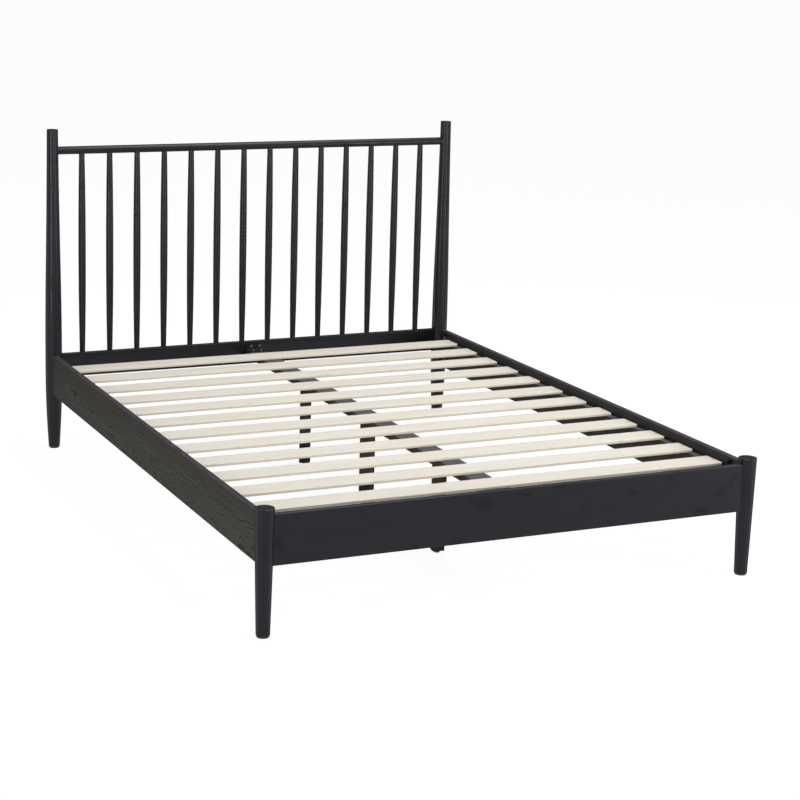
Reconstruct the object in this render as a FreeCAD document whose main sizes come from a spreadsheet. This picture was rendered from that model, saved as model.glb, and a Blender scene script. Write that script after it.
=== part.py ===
import FreeCAD, Part
import math
import os
import Sketcher

# A wooden spindle bed for a queen mattress. Two tall turned posts carry a round
# top rail, a lower rail and a row of spindles. Two short turned posts carry the
# footboard. Side rails are bolted between them, with ledgers, slats and a flat
# centre beam on three square legs. X runs across the bed, Y towards the head,
# Z up, in millimetres, with the origin on the floor under the middle.

sizes = [
    ("mattress_width", 1524),
    ("mattress_length", 2032),
    ("side_gap", 12.5),             # mattress to the side rail
    ("end_gap", 30),                # mattress to the head rail and the footboard
    # boards
    ("board_thickness", 19),
    ("board_outset", 12),           # outer face beyond the axis of the posts
    ("rail_bottom", 203),
    ("rail_height", 147),
    ("head_rail_height", 86),       # its top is level with the side rails
    ("board_round", 2),
    # head posts
    ("head_post_height", 1168),
    ("head_top_radius", 20),
    ("head_belly_radius", 30),
    ("head_foot_radius", 20),
    ("head_neck_radius", 24.4),
    ("belly_low", 283),
    ("belly_high", 330),
    ("foot_fullness", 0.55),        # share of the height under the belly
    ("shoulder_fullness", 0.344),   # shares of the height over the belly
    ("neck_fullness", 0.405),
    # foot posts
    ("foot_post_height", 368),
    ("foot_top_radius", 28),
    ("foot_tip_radius", 20),
    ("foot_bow", 0.6),
    ("post_round", 1.5),
    # seats and tenons in the posts
    ("seat_radius", 20),            # from the post's axis to the seat of a board
    ("seat_clearance", 0.15),
    ("tenon_thickness", 9),
    ("tenon_length", 13),
    ("tenon_shoulder", 15),
    # top rail and spindles
    ("top_rail_radius", 14.3),
    ("top_rail_height", 1092),
    ("top_rail_seat", 10),          # from the post's axis to the end of the rail
    ("spindle_count", 14),
    ("spindle_end_space", 107.775), # from the post's axis to the first spindle's
    ("spindle_radius", 13.4),
    ("spindle_end_radius", 9.9),
    ("spindle_tenon_radius", 6.35),
    ("spindle_tenon_length", 20),
    ("spindle_top_depth", 9),       # how far the spindle enters the top rail
    ("socket_clearance", 0.1),
    # bolted corners
    ("bolt_radius", 3),
    ("bolt_length", 45),
    ("bolt_head_across", 10),
    ("bolt_head_thickness", 4),
    ("bolt_inset", 8.5),            # from the inner face of the rail
    ("bolt_spread", 40.5),          # above and below the middle of the rail
    ("bolt_clearance", 0.5),
    ("pocket_radius", 25),
    ("pocket_distance", 73),        # from the post's axis
    ("pocket_skin", 4),
    ("washer_thickness", 4),
    ("washer_length", 18),
    ("washer_width", 11),
    ("insert_radius", 5.5),
    ("insert_length", 14),
    ("thread_clearance", 0.05),
    # slatted base
    ("deck_height", 323),           # top of the slats
    ("slat_count", 12),
    ("slat_foot_space", 106),       # from the footboard to the first slat
    ("slat_head_space", 90),        # from the last slat to the head rail
    ("slat_width", 88),
    ("slat_thickness", 8.5),
    ("slat_gap", 1.5),              # end of a slat to the side rail
    ("slat_corner", 8),
    ("slat_round", 2),
    ("ledger_width", 22),
    ("ledger_height", 30),
    ("ledger_stop", 114),           # from the post's axis to the end of the ledger
    ("beam_width", 70),
    ("beam_thickness", 25),
    ("beam_gap", 0.3),
    # brackets at both ends of the beam
    ("bracket_width", 72),
    ("bracket_height", 22),
    ("bracket_reach", 36),
    ("bracket_sheet", 2.5),
    ("bracket_bend", 3),
    ("bracket_spread", 16.4),       # of its screws either side of the middle
    ("bracket_rise", 14.5),         # of its upper screws over the beam
    ("screw_radius", 2.2),
    ("screw_length", 16),
    ("screw_head_radius", 7.5),
    ("screw_head_thickness", 3.2),
    # centre legs
    ("leg_side", 39),
    ("leg_bottom", 8),
    ("leg_gap", 0.3),
    ("leg_end_space", 505),         # from a rail across the bed to the outer leg's axis
    ("leg_round", 1.5),
    ("leg_turn_head", -25),         # how far each leg was left turned
    ("leg_turn_middle", 39),
    ("leg_turn_foot", -12),
    ("hanger_radius", 4),
    ("hanger_in_beam", 18),
    ("hanger_in_leg", 28),
    ("running_clearance", 0.05),
    # glides
    ("glide_radius", 9),
    ("glide_thickness", 5),
    ("glide_round", 1),
    ("stem_radius", 4),
    ("stem_length", 30),
    ("stem_room", 5),               # empty bore over the stem
    ("leg_insert_radius", 6),
    ("leg_insert_length", 20),
    ("post_glide_radius", 18),
    ("post_glide_thickness", 5),
    ("pin_radius", 2),
    ("pin_length", 14),
]

# Places that follow from the sizes above.
layout = [
    ("rail_inner", "Sizes.mattress_width / 2 + Sizes.side_gap"),
    ("board_middle", "Sizes.board_outset - Sizes.board_thickness / 2"),
    ("rail_x", "Layout.rail_inner + Sizes.board_thickness / 2"),
    ("post_x", "Layout.rail_x - Layout.board_middle"),
    ("inside_length", "Sizes.mattress_length + 2 * Sizes.end_gap"),
    # from the middle of the head rail and the footboard's inner face to the axes
    ("post_span", "Layout.inside_length + Sizes.board_thickness / 2"
                  " + Sizes.board_thickness - Sizes.board_outset"),
    ("middle_y", "(Sizes.foot_top_radius - Sizes.head_belly_radius) / 2"),
    ("head_y", "Layout.middle_y + Layout.post_span / 2"),
    ("foot_y", "Layout.middle_y - Layout.post_span / 2"),
    ("head_face", "Layout.head_y - Sizes.board_thickness / 2"),
    ("foot_face", "Layout.head_face - Layout.inside_length"),
    ("well_y", "(Layout.head_face + Layout.foot_face) / 2"),
    ("rail_top", "Sizes.rail_bottom + Sizes.rail_height"),
    ("rail_middle", "Sizes.rail_bottom + Sizes.rail_height / 2"),
    ("rail_length", "Layout.post_span - 2 * Sizes.seat_radius"),
    ("board_length", "2 * (Layout.post_x - Sizes.seat_radius)"),
    ("bolt_x", "Layout.board_middle - Sizes.board_thickness / 2 + Sizes.bolt_inset"),
    ("pocket_y", "Layout.post_span / 2 - Sizes.pocket_distance"),
    ("washer_seat", "Sizes.pocket_radius - Sizes.washer_thickness"),
    ("spindle_top", "Sizes.top_rail_height - Sizes.top_rail_radius + Sizes.spindle_top_depth"),
    ("spindle_row", "2 * (Layout.post_x - Sizes.spindle_end_space)"),
    ("spindle_pitch", "Layout.spindle_row / (Sizes.spindle_count - 1)"),
    ("ledger_top", "Sizes.deck_height - Sizes.slat_thickness"),
    ("slat_length", "2 * (Layout.rail_inner - Sizes.slat_gap)"),
    ("slat_start", "Layout.foot_face + Sizes.slat_foot_space + Sizes.slat_width / 2"),
    ("slat_end", "Layout.head_face - Sizes.slat_head_space - Sizes.slat_width / 2"),
    ("slat_pitch", "(Layout.slat_end - Layout.slat_start) / (Sizes.slat_count - 1)"),
    ("ledger_length", "Layout.post_span - 2 * Sizes.ledger_stop"),
    ("beam_length", "Layout.inside_length - 2 * Sizes.beam_gap"),
    ("beam_bottom", "Layout.ledger_top - Sizes.beam_thickness"),
    ("leg_length", "Layout.beam_bottom - Sizes.leg_gap - Sizes.leg_bottom"),
    ("leg_spacing", "Layout.inside_length / 2 - Sizes.leg_end_space"),
    ("screw_z", "Layout.ledger_top + Sizes.bracket_rise"),
    ("stem_bore", "Sizes.stem_length + Sizes.stem_room"),
]

document = FreeCAD.newDocument("spindle_bed")
nodes = []


def fillSheet(name, rows):
    sheet = document.addObject("Spreadsheet::Sheet", name)
    for row, (alias, content) in enumerate(rows, 1):
        sheet.set(f"A{row}", alias)
        sheet.setAlias(f"B{row}", alias)
    for row, (alias, content) in enumerate(rows, 1):
        text = f"={content}" if isinstance(content, str) else str(content)
        sheet.set(f"B{row}", text.replace(f"{name}.", ""))
    document.recompute()
    return sheet


sizeSheet = fillSheet("Sizes", sizes)
fillSheet("Layout", layout)


def valueOf(rule):
    return float(sizeSheet.evalExpression(rule))


def moveTo(item, x, y, z):
    for letter, rule in zip("xyz", (x, y, z)):
        item.setExpression("Placement.Base." + letter, rule)


def addBody(label, x="0", y="0", z="0", keep=True):
    body = document.addObject("PartDesign::Body", label)
    body.Label = label
    moveTo(body, x, y, z)
    if keep:
        nodes.append(body)
    return body


def addSketch(body, role, name):
    sketch = body.newObject("Sketcher::SketchObject", name)
    plane = next(item for item in body.Origin.OriginFeatures if item.Role == role)
    sketch.AttachmentSupport = [(plane, "")]
    sketch.MapMode = "FlatFace"
    return sketch


def pinPoint(sketch, geometry, point, spot):
    for kind, axis, rule in zip(("DistanceX", "DistanceY"), (-2, -1), spot):
        if rule == "0":
            sketch.addConstraint(Sketcher.Constraint("PointOnObject", geometry, point, axis))
            continue
        pinned = Sketcher.Constraint(kind, -1, 1, geometry, point, valueOf(rule))
        index = sketch.addConstraint(pinned)
        sketch.setExpression(f"Constraints[{index}]", rule)


def drawOutline(sketch, edges):
    # an edge is two points, or a curve's poles from its start to its end
    drawn = []
    for edge in edges:
        poles = [FreeCAD.Vector(valueOf(x), valueOf(y), 0) for x, y in edge]
        if len(poles) == 2:
            drawn.append(sketch.addGeometry(Part.LineSegment(*poles), False))
            continue
        curve = Part.BSplineCurve()
        curve.buildFromPoles(poles, False, len(poles) - 1)
        first = sketch.addGeometry(curve, False)
        sketch.exposeInternalGeometry(first)
        for step in range(1, len(poles) - 1):
            pinPoint(sketch, first + 1 + step, 3, edge[step])
        drawn.append(first)
    for number, edge in enumerate(edges):
        following = drawn[(number + 1) % len(drawn)]
        sketch.addConstraint(Sketcher.Constraint("Coincident", drawn[number], 2, following, 1))
        pinPoint(sketch, drawn[number], 1, edge[0])


def drawBoard(sketch, width, bottom, top):
    left = f"-({width}) / 2"
    right = f"({width}) / 2"
    corners = [(left, bottom), (right, bottom), (right, top), (left, top)]
    drawOutline(sketch, list(zip(corners, corners[1:] + corners[:1])))


def turnProfile(body, edges):
    sketch = addSketch(body, "XZ_Plane", "profile")
    drawOutline(sketch, edges)
    turned = body.newObject("PartDesign::Revolution", "turned")
    turned.Profile = sketch
    turned.ReferenceAxis = (sketch, ["V_Axis"])
    turned.Angle = 360


def padBoard(body, role, width, bottom, top, length, upright=False):
    sketch = addSketch(body, role, "section")
    drawBoard(sketch, width, bottom, top)
    pad = body.newObject("PartDesign::Pad", "board")
    pad.Profile = sketch
    pad.SideType = "One side" if upright else "Symmetric"
    pad.setExpression("Length", length)


def addBlock(body, kind, name, middle, spans):
    block = body.newObject(f"PartDesign::{kind}Box", name)
    sides = zip(("Length", "Width", "Height"), "xyz", middle, spans)
    for side, letter, centre, span in sides:
        block.setExpression(side, span)
        block.setExpression("Placement.Base." + letter, f"({centre}) - ({span}) / 2")


def addRound(body, kind, name, start, direction, radius, length):
    rod = body.newObject(f"PartDesign::{kind}Cylinder", name)
    turn = FreeCAD.Rotation(FreeCAD.Vector(0, 0, 1), FreeCAD.Vector(*direction))
    rod.Placement = FreeCAD.Placement(FreeCAD.Vector(), turn)
    rod.setExpression("Radius", radius)
    rod.setExpression("Height", length)
    moveTo(rod, *start)


def roundEdges(body, name, radius, isWanted):
    document.recompute()
    base = body.Tip
    picked = [f"Edge{number}" for number, edge in enumerate(base.Shape.Edges, 1)
              if isWanted(edge.BoundBox)]
    fillet = body.newObject("PartDesign::Fillet", name)
    fillet.Base = (base, picked)
    fillet.setExpression("Radius", radius)


def runsAlong(letter, share, length):
    # edges that run straight along an axis for at least a share of the length
    def test(box):
        spans = {"x": box.XLength, "y": box.YLength, "z": box.ZLength}
        across = max(span for axis, span in spans.items() if axis != letter)
        return spans[letter] > share * valueOf(length) and across < 0.01
    return test


def liesAt(height):
    level = valueOf(height)
    return lambda box: abs(box.ZMin - level) + abs(box.ZMax - level) < 0.01


def placeCopies(label, master, spots):
    # one node with a separate solid at every spot, each turned about Z
    links = []
    for number, (x, y, z, turn) in enumerate(spots, 1):
        link = document.addObject("App::Link", f"{label}_{number:02d}")
        link.LinkedObject = master
        spin = FreeCAD.Rotation(FreeCAD.Vector(0, 0, 1), turn)
        link.Placement = FreeCAD.Placement(FreeCAD.Vector(), spin)
        moveTo(link, x, y, z)
        links.append(link)
    group = document.addObject("Part::Compound", label)
    group.Label = label
    group.Links = links
    nodes.append(group)


# Every post has flat seats for the ends of its boards, a mortise behind the
# seat of the glued rail and two bores for the inserts of the bolted one.
def cutSeats(post, side, towards, railY, railHeight):
    deep = "Sizes.head_belly_radius"
    seatOut = f"(Sizes.seat_radius + {deep} / 2)"
    wide = "Sizes.board_thickness + 2 * Sizes.seat_clearance"
    high = "Sizes.rail_height + 2 * Sizes.seat_clearance"
    addBlock(post, "Subtractive", "side_rail_seat",
             (f"{side} * Layout.board_middle", f"{towards} * {seatOut}", "Layout.rail_middle"),
             (wide, deep, high))
    middle = f"Layout.rail_top - {railHeight} / 2"
    addBlock(post, "Subtractive", "end_rail_seat",
             (f"{-side} * {seatOut}", railY, middle),
             (deep, wide, f"{railHeight} + 2 * Sizes.seat_clearance"))
    mortise = "Sizes.tenon_length + Sizes.seat_clearance"
    addBlock(post, "Subtractive", "mortise",
             (f"{-side} * (Sizes.seat_radius - ({mortise}) / 2)", railY, middle),
             (mortise, "Sizes.tenon_thickness + 2 * Sizes.seat_clearance",
              f"{railHeight} - 2 * Sizes.tenon_shoulder + 2 * Sizes.seat_clearance"))
    for row, sign in (("lower", "-"), ("upper", "+")):
        addRound(post, "Subtractive", f"{row}_insert_bore",
                 (f"{side} * Layout.bolt_x", f"{towards} * Sizes.seat_radius",
                  f"Layout.rail_middle {sign} Sizes.bolt_spread"),
                 (0, -towards, 0), "Sizes.insert_radius + Sizes.thread_clearance",
                 "Sizes.insert_length")
    addRound(post, "Subtractive", "pin_bore", ("0", "0", "Sizes.post_glide_thickness"),
             (0, 0, 1), "Sizes.pin_radius + Sizes.thread_clearance", "Sizes.pin_length")


def makeHeadPost(label, side):
    post = addBody(label, f"{side} * Layout.post_x", "Layout.head_y")
    low = "Sizes.post_glide_thickness"
    top = "Sizes.head_post_height"
    belly = "Sizes.head_belly_radius"
    upper = "(Sizes.head_post_height - Sizes.belly_high)"
    tip = ("Sizes.head_foot_radius", low)
    bellyLow = (belly, "Sizes.belly_low")
    bellyHigh = (belly, "Sizes.belly_high")
    rim = ("Sizes.head_top_radius", top)
    turnProfile(post, [
        [("0", low), tip],
        [tip, (belly, "Sizes.foot_fullness * Sizes.belly_low"), bellyLow],
        [bellyLow, bellyHigh],
        [bellyHigh, (belly, f"Sizes.belly_high + Sizes.shoulder_fullness * {upper}"),
         ("Sizes.head_neck_radius", f"Sizes.belly_high + Sizes.neck_fullness * {upper}"), rim],
        [rim, ("0", top)],
        [("0", top), ("0", low)],
    ])
    roundEdges(post, "eased_top", "Sizes.post_round", liesAt(top))
    roundEdges(post, "eased_tip", "Sizes.post_round", liesAt(low))
    cutSeats(post, side, -1, "0", "Sizes.head_rail_height")
    addRound(post, "Subtractive", "top_rail_socket",
             (f"{-side} * Sizes.top_rail_seat", "0", "Sizes.top_rail_height"), (-side, 0, 0),
             "Sizes.top_rail_radius + Sizes.socket_clearance", belly)


def makeFootPost(label, side):
    post = addBody(label, f"{side} * Layout.post_x", "Layout.foot_y")
    low = "Sizes.post_glide_thickness"
    top = "Sizes.foot_post_height"
    tip = ("Sizes.foot_tip_radius", low)
    rim = ("Sizes.foot_top_radius", top)
    waist = ("(Sizes.foot_tip_radius + Sizes.foot_top_radius) / 2 + Sizes.foot_bow",
             f"({low} + {top}) / 2")
    turnProfile(post, [
        [("0", low), tip],
        [tip, waist, rim],
        [rim, ("0", top)],
        [("0", top), ("0", low)],
    ])
    roundEdges(post, "eased_top", "Sizes.post_round", liesAt(top))
    roundEdges(post, "eased_tip", "Sizes.post_round", liesAt(low))
    cutSeats(post, side, 1, "-Layout.board_middle", "Sizes.rail_height")


# A rail across the bed, with a stub tenon behind the shoulder at each end.
def makeEndRail(label, y, height):
    rail = addBody(label, "0", y, f"Layout.rail_top - {height}")
    padBoard(rail, "YZ_Plane", "Sizes.board_thickness", "0", height, "Layout.board_length")
    roundEdges(rail, "eased_edges", "Sizes.board_round",
               runsAlong("x", 0.5, "Layout.board_length"))
    for end, sign in (("left", "-"), ("right", "")):
        addBlock(rail, "Additive", f"{end}_tenon",
                 (f"{sign}(Layout.board_length + Sizes.tenon_length) / 2", "0", f"{height} / 2"),
                 ("Sizes.tenon_length", "Sizes.tenon_thickness",
                  f"{height} - 2 * Sizes.tenon_shoulder"))
    return rail


def cutScrewHoles(rail, depth, outward, z):
    for side, sign in (("left", "-"), ("right", "")):
        addRound(rail, "Subtractive", f"{side}_screw_bore",
                 (f"{sign}Sizes.bracket_spread", depth, z), (0, outward, 0),
                 "Sizes.screw_radius + Sizes.thread_clearance",
                 "Sizes.screw_length - Sizes.bracket_sheet")


def makeSideRail(label, side):
    rail = addBody(label, f"{side} * Layout.rail_x", "Layout.middle_y", "Sizes.rail_bottom")
    padBoard(rail, "XZ_Plane", "Sizes.board_thickness", "0", "Sizes.rail_height",
             "Layout.rail_length")
    roundEdges(rail, "eased_edges", "Sizes.board_round",
               runsAlong("y", 0.5, "Layout.rail_length"))
    for end, towards in (("foot", -1), ("head", 1)):
        for row, sign in (("lower", "-"), ("upper", "+")):
            middle = f"Sizes.rail_height / 2 {sign} Sizes.bolt_spread"
            pocketY = f"{towards} * Layout.pocket_y"
            addRound(rail, "Subtractive", f"{end}_{row}_pocket",
                     (f"{-side} * Sizes.board_thickness / 2", pocketY, middle),
                     (side, 0, 0), "Sizes.pocket_radius",
                     "Sizes.board_thickness - Sizes.pocket_skin")
            addRound(rail, "Subtractive", f"{end}_{row}_bolt_bore",
                     (f"{-side} * (Sizes.board_thickness / 2 - Sizes.bolt_inset)", pocketY,
                      middle), (0, towards, 0), "Sizes.bolt_radius + Sizes.bolt_clearance",
                     "Sizes.pocket_distance - Sizes.seat_radius")


def makeSpindle(label, number):
    x = f"{number} * Layout.spindle_pitch - Layout.spindle_row / 2"
    spindle = addBody(label, x, "Layout.head_y", "Layout.rail_top")
    high = "(Layout.spindle_top - Layout.rail_top)"
    tenon = "Sizes.spindle_tenon_radius"
    tip = (tenon, "-Sizes.spindle_tenon_length")
    shoulder = (tenon, "0")
    foot = ("Sizes.spindle_end_radius", "0")
    rim = ("Sizes.spindle_end_radius", high)
    # a parabola reaches halfway to its middle pole
    bulge = ("2 * Sizes.spindle_radius - Sizes.spindle_end_radius", f"{high} / 2")
    turnProfile(spindle, [
        [("0", tip[1]), tip],
        [tip, shoulder],
        [shoulder, foot],
        [foot, bulge, rim],
        [rim, ("0", high)],
        [("0", high), ("0", tip[1])],
    ])


def makeTopRail():
    rail = addBody("headboard_top_rail", "0", "Layout.head_y", "Sizes.top_rail_height")
    addRound(rail, "Additive", "bar", ("Sizes.top_rail_seat - Layout.post_x", "0", "0"),
             (1, 0, 0), "Sizes.top_rail_radius", "2 * (Layout.post_x - Sizes.top_rail_seat)")
    drillSpindles(rail, "Sizes.spindle_top_depth - Sizes.top_rail_radius",
                  "Sizes.spindle_end_radius", "Sizes.top_rail_radius")


def drillSpindles(rail, z, radius, depth):
    addRound(rail, "Subtractive", "first_socket", ("-Layout.spindle_row / 2", "0", z),
             (0, 0, -1), f"{radius} + Sizes.socket_clearance", depth)
    row = rail.newObject("PartDesign::LinearPattern", "sockets")
    row.Originals = [rail.Tip]
    across = next(item for item in rail.Origin.OriginFeatures if item.Role == "X_Axis")
    row.Direction = (across, [""])
    row.setExpression("Length", "Layout.spindle_row")
    row.setExpression("Occurrences", "Sizes.spindle_count")
    rail.Tip = row


def makeLedger(label, side):
    ledger = addBody(label, f"{side} * (Layout.rail_inner - Sizes.ledger_width / 2)",
                     "Layout.middle_y", "Layout.ledger_top - Sizes.ledger_height")
    padBoard(ledger, "XZ_Plane", "Sizes.ledger_width", "0", "Sizes.ledger_height",
             "Layout.ledger_length")
    roundEdges(ledger, "eased_edges", "Sizes.leg_round",
               lambda box: runsAlong("y", 0.5, "Layout.ledger_length")(box)
               and box.XMin * side < 0)


def makeSlat(label, number):
    y = f"Layout.slat_start + {number} * Layout.slat_pitch"
    slat = addBody(label, "0", y, "Layout.ledger_top")
    padBoard(slat, "XY_Plane", "Layout.slat_length", "-Sizes.slat_width / 2",
             "Sizes.slat_width / 2", "Sizes.slat_thickness", upright=True)
    roundEdges(slat, "corners", "Sizes.slat_corner",
               runsAlong("z", 0.5, "Sizes.slat_thickness"))
    roundEdges(slat, "eased_top", "Sizes.slat_round", liesAt("Sizes.slat_thickness"))
    roundEdges(slat, "eased_bottom", "Sizes.slat_round", liesAt("0"))


def makeBeam():
    beam = addBody("centre_beam", "0", "Layout.well_y", "Layout.beam_bottom")
    padBoard(beam, "XZ_Plane", "Sizes.beam_width", "0", "Sizes.beam_thickness",
             "Layout.beam_length")
    roundEdges(beam, "eased_edges", "Sizes.board_round",
               runsAlong("y", 0.5, "Layout.beam_length"))
    for name, sign in (("foot", "-"), ("middle", "0 *"), ("head", "")):
        addRound(beam, "Subtractive", f"{name}_hanger_bore",
                 ("0", f"{sign} Layout.leg_spacing", "0"), (0, 0, 1),
                 "Sizes.hanger_radius + Sizes.thread_clearance", "Sizes.hanger_in_beam")
    for end, sign in (("foot", "-"), ("head", "")):
        y = f"{sign}(Layout.inside_length - Sizes.bracket_reach) / 2"
        for side, across in (("left", "-"), ("right", "")):
            addRound(beam, "Subtractive", f"{end}_{side}_screw_bore",
                     (f"{across}Sizes.bracket_spread", y, "Sizes.beam_thickness"), (0, 0, -1),
                     "Sizes.screw_radius + Sizes.thread_clearance",
                     "Sizes.screw_length - Sizes.bracket_sheet")


# An angle of bent sheet: one flange on the rail, the other on top of the beam.
def makeBracket(label, face, towards):
    bracket = addBody(label, "0", face, "Layout.ledger_top")
    sheet = "Sizes.bracket_sheet"
    reach = f"{-towards} * Sizes.bracket_reach"
    inner = f"{-towards} * Sizes.bracket_sheet"
    corners = [("0", "0"), (reach, "0"), (reach, sheet), (inner, sheet),
               (inner, "Sizes.bracket_height"), ("0", "Sizes.bracket_height")]
    sketch = addSketch(bracket, "YZ_Plane", "angle")
    drawOutline(sketch, list(zip(corners, corners[1:] + corners[:1])))
    pad = bracket.newObject("PartDesign::Pad", "flanges")
    pad.Profile = sketch
    pad.SideType = "Symmetric"
    pad.setExpression("Length", "Sizes.bracket_width")
    bends = (("inner_bend", inner, sheet, "Sizes.bracket_bend"),
             ("outer_bend", "0", "0", "Sizes.bracket_bend + Sizes.bracket_sheet"))
    for name, y, z, radius in bends:
        roundEdges(bracket, name, radius,
                   lambda box: runsAlong("x", 0.5, "Sizes.bracket_width")(box)
                   and abs(box.YMin - valueOf(y)) + abs(box.ZMin - valueOf(z)) < 0.01)
    for side, sign in (("left", "-"), ("right", "")):
        x = f"{sign}Sizes.bracket_spread"
        addRound(bracket, "Subtractive", f"{side}_rail_hole",
                 (x, "0", "Layout.screw_z - Layout.ledger_top"), (0, -towards, 0),
                 "Sizes.screw_radius + Sizes.thread_clearance", sheet)
        addRound(bracket, "Subtractive", f"{side}_beam_hole",
                 (x, f"{reach} / 2", "0"), (0, 0, 1),
                 "Sizes.screw_radius + Sizes.thread_clearance", sheet)


def makeLeg(name, y, turn):
    leg = addBody(f"centre_leg_{name}", "0", y, "Sizes.leg_bottom")
    leg.Placement.Rotation = FreeCAD.Rotation(FreeCAD.Vector(0, 0, 1), valueOf(turn))
    padBoard(leg, "XY_Plane", "Sizes.leg_side", "-Sizes.leg_side / 2", "Sizes.leg_side / 2",
             "Layout.leg_length", upright=True)
    roundEdges(leg, "eased_corners", "Sizes.leg_round",
               runsAlong("z", 0.5, "Layout.leg_length"))
    roundEdges(leg, "eased_bottom", "Sizes.leg_round", liesAt("0"))
    addRound(leg, "Subtractive", "hanger_bore", ("0", "0", "Layout.leg_length"), (0, 0, -1),
             "Sizes.hanger_radius + Sizes.running_clearance",
             "Sizes.hanger_in_leg + Sizes.stem_room")
    addRound(leg, "Subtractive", "glide_bore", ("0", "0", "0"), (0, 0, 1),
             "Sizes.leg_insert_radius + Sizes.thread_clearance", "Layout.stem_bore")
    insert = addBody(f"leg_insert_{name}", "0", y, "Sizes.leg_bottom")
    addRound(insert, "Additive", "barrel", ("0", "0", "0"), (0, 0, 1),
             "Sizes.leg_insert_radius", "Sizes.leg_insert_length")
    addRound(insert, "Subtractive", "bore", ("0", "0", "0"), (0, 0, 1),
             "Sizes.stem_radius + Sizes.running_clearance", "Sizes.leg_insert_length")
    glide = addBody(f"leg_glide_{name}", "0", y)
    addRound(glide, "Additive", "pad", ("0", "0", "0"), (0, 0, 1), "Sizes.glide_radius",
             "Sizes.glide_thickness")
    roundEdges(glide, "eased_pad", "Sizes.glide_round", liesAt("Sizes.glide_thickness"))
    addRound(glide, "Additive", "stem", ("0", "0", "Sizes.glide_thickness"), (0, 0, 1),
             "Sizes.stem_radius", "Sizes.stem_length")


def makePostGlides():
    glide = addBody("post_glide", keep=False)
    addRound(glide, "Additive", "pad", ("0", "0", "0"), (0, 0, 1), "Sizes.post_glide_radius",
             "Sizes.post_glide_thickness")
    roundEdges(glide, "eased_pad", "Sizes.glide_round", liesAt("0"))
    addRound(glide, "Additive", "pin", ("0", "0", "Sizes.post_glide_thickness"), (0, 0, 1),
             "Sizes.pin_radius", "Sizes.pin_length")
    placeCopies("post_glides", glide, [
        (f"{side} * Layout.post_x", y, "0", 0)
        for side in (-1, 1) for y in ("Layout.head_y", "Layout.foot_y")])


# Bolts, half-moon washers and inserts, made for the head end and turned round
# for the foot end.
def makeCornerFittings():
    bolt = addBody("rail_bolt", keep=False)
    addRound(bolt, "Additive", "shank", ("0", "0", "0"), (0, 1, 0), "Sizes.bolt_radius",
             "Sizes.bolt_length")
    head = bolt.newObject("PartDesign::AdditivePrism", "head")
    head.Placement.Rotation = FreeCAD.Rotation(FreeCAD.Vector(1, 0, 0), 90)
    head.setExpression("Circumradius", f"Sizes.bolt_head_across / {math.sqrt(3):.6f}")
    head.setExpression("Height", "Sizes.bolt_head_thickness")

    insert = addBody("post_insert", keep=False)
    addRound(insert, "Additive", "barrel", ("0", "0", "0"), (0, 1, 0), "Sizes.insert_radius",
             "Sizes.insert_length")
    addRound(insert, "Subtractive", "bore", ("0", "0", "0"), (0, 1, 0),
             "Sizes.bolt_radius + Sizes.thread_clearance", "Sizes.insert_length")

    washer = makeWasher()
    spots = {"rail_bolts": [], "rail_washers": [], "post_inserts": []}
    for side in (-1, 1):
        x = f"{side} * (Layout.post_x + Layout.bolt_x)"
        for sign in ("-", "+"):
            z = f"Layout.rail_middle {sign} Sizes.bolt_spread"
            for post, way, turn in (("Layout.head_y", "-", 0), ("Layout.foot_y", "+", 180)):
                pocket = f"{post} {way} Sizes.pocket_distance"
                seat = f"{post} {way} (Sizes.pocket_distance - Layout.washer_seat)"
                spots["rail_bolts"].append((x, seat, z, turn))
                spots["rail_washers"].append((x, pocket, z, turn))
                spots["post_inserts"].append((x, f"{post} {way} Sizes.seat_radius", z, turn))
    for label, master in zip(spots, (bolt, washer, insert)):
        placeCopies(label, master, spots[label])


def makeWasher():
    disc = document.addObject("Part::Cylinder", "washer_disc")
    disc.Placement.Rotation = FreeCAD.Rotation(FreeCAD.Vector(0, 1, 0), 90)
    disc.setExpression("Radius", "Sizes.pocket_radius - Sizes.thread_clearance")
    disc.setExpression("Height", "Sizes.washer_width")
    moveTo(disc, "-Sizes.washer_width / 2", "0", "0")
    slab = document.addObject("Part::Box", "washer_slab")
    slab.setExpression("Length", "Sizes.washer_width")
    slab.setExpression("Width", "Sizes.washer_thickness")
    slab.setExpression("Height", "Sizes.washer_length")
    moveTo(slab, "-Sizes.washer_width / 2", "Layout.washer_seat", "-Sizes.washer_length / 2")
    moon = document.addObject("Part::Common", "washer_moon")
    moon.Base = disc
    moon.Tool = slab
    hole = document.addObject("Part::Cylinder", "washer_hole")
    hole.Placement.Rotation = FreeCAD.Rotation(FreeCAD.Vector(1, 0, 0), -90)
    hole.setExpression("Radius", "Sizes.bolt_radius + Sizes.bolt_clearance")
    hole.setExpression("Height", "Sizes.pocket_radius")
    washer = document.addObject("Part::Cut", "rail_washer")
    washer.Base = moon
    washer.Tool = hole
    return washer


def makeHangers():
    hanger = addBody("hanger_bolt", keep=False)
    addRound(hanger, "Additive", "rod", ("0", "0", "0"), (0, 0, 1), "Sizes.hanger_radius",
             "Sizes.hanger_in_leg + Sizes.leg_gap + Sizes.hanger_in_beam")
    low = "Layout.beam_bottom - Sizes.leg_gap - Sizes.hanger_in_leg"
    placeCopies("hanger_bolts", hanger, [
        ("0", f"Layout.well_y + {step} * Layout.leg_spacing", low, 0) for step in (-1, 0, 1)])


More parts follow.
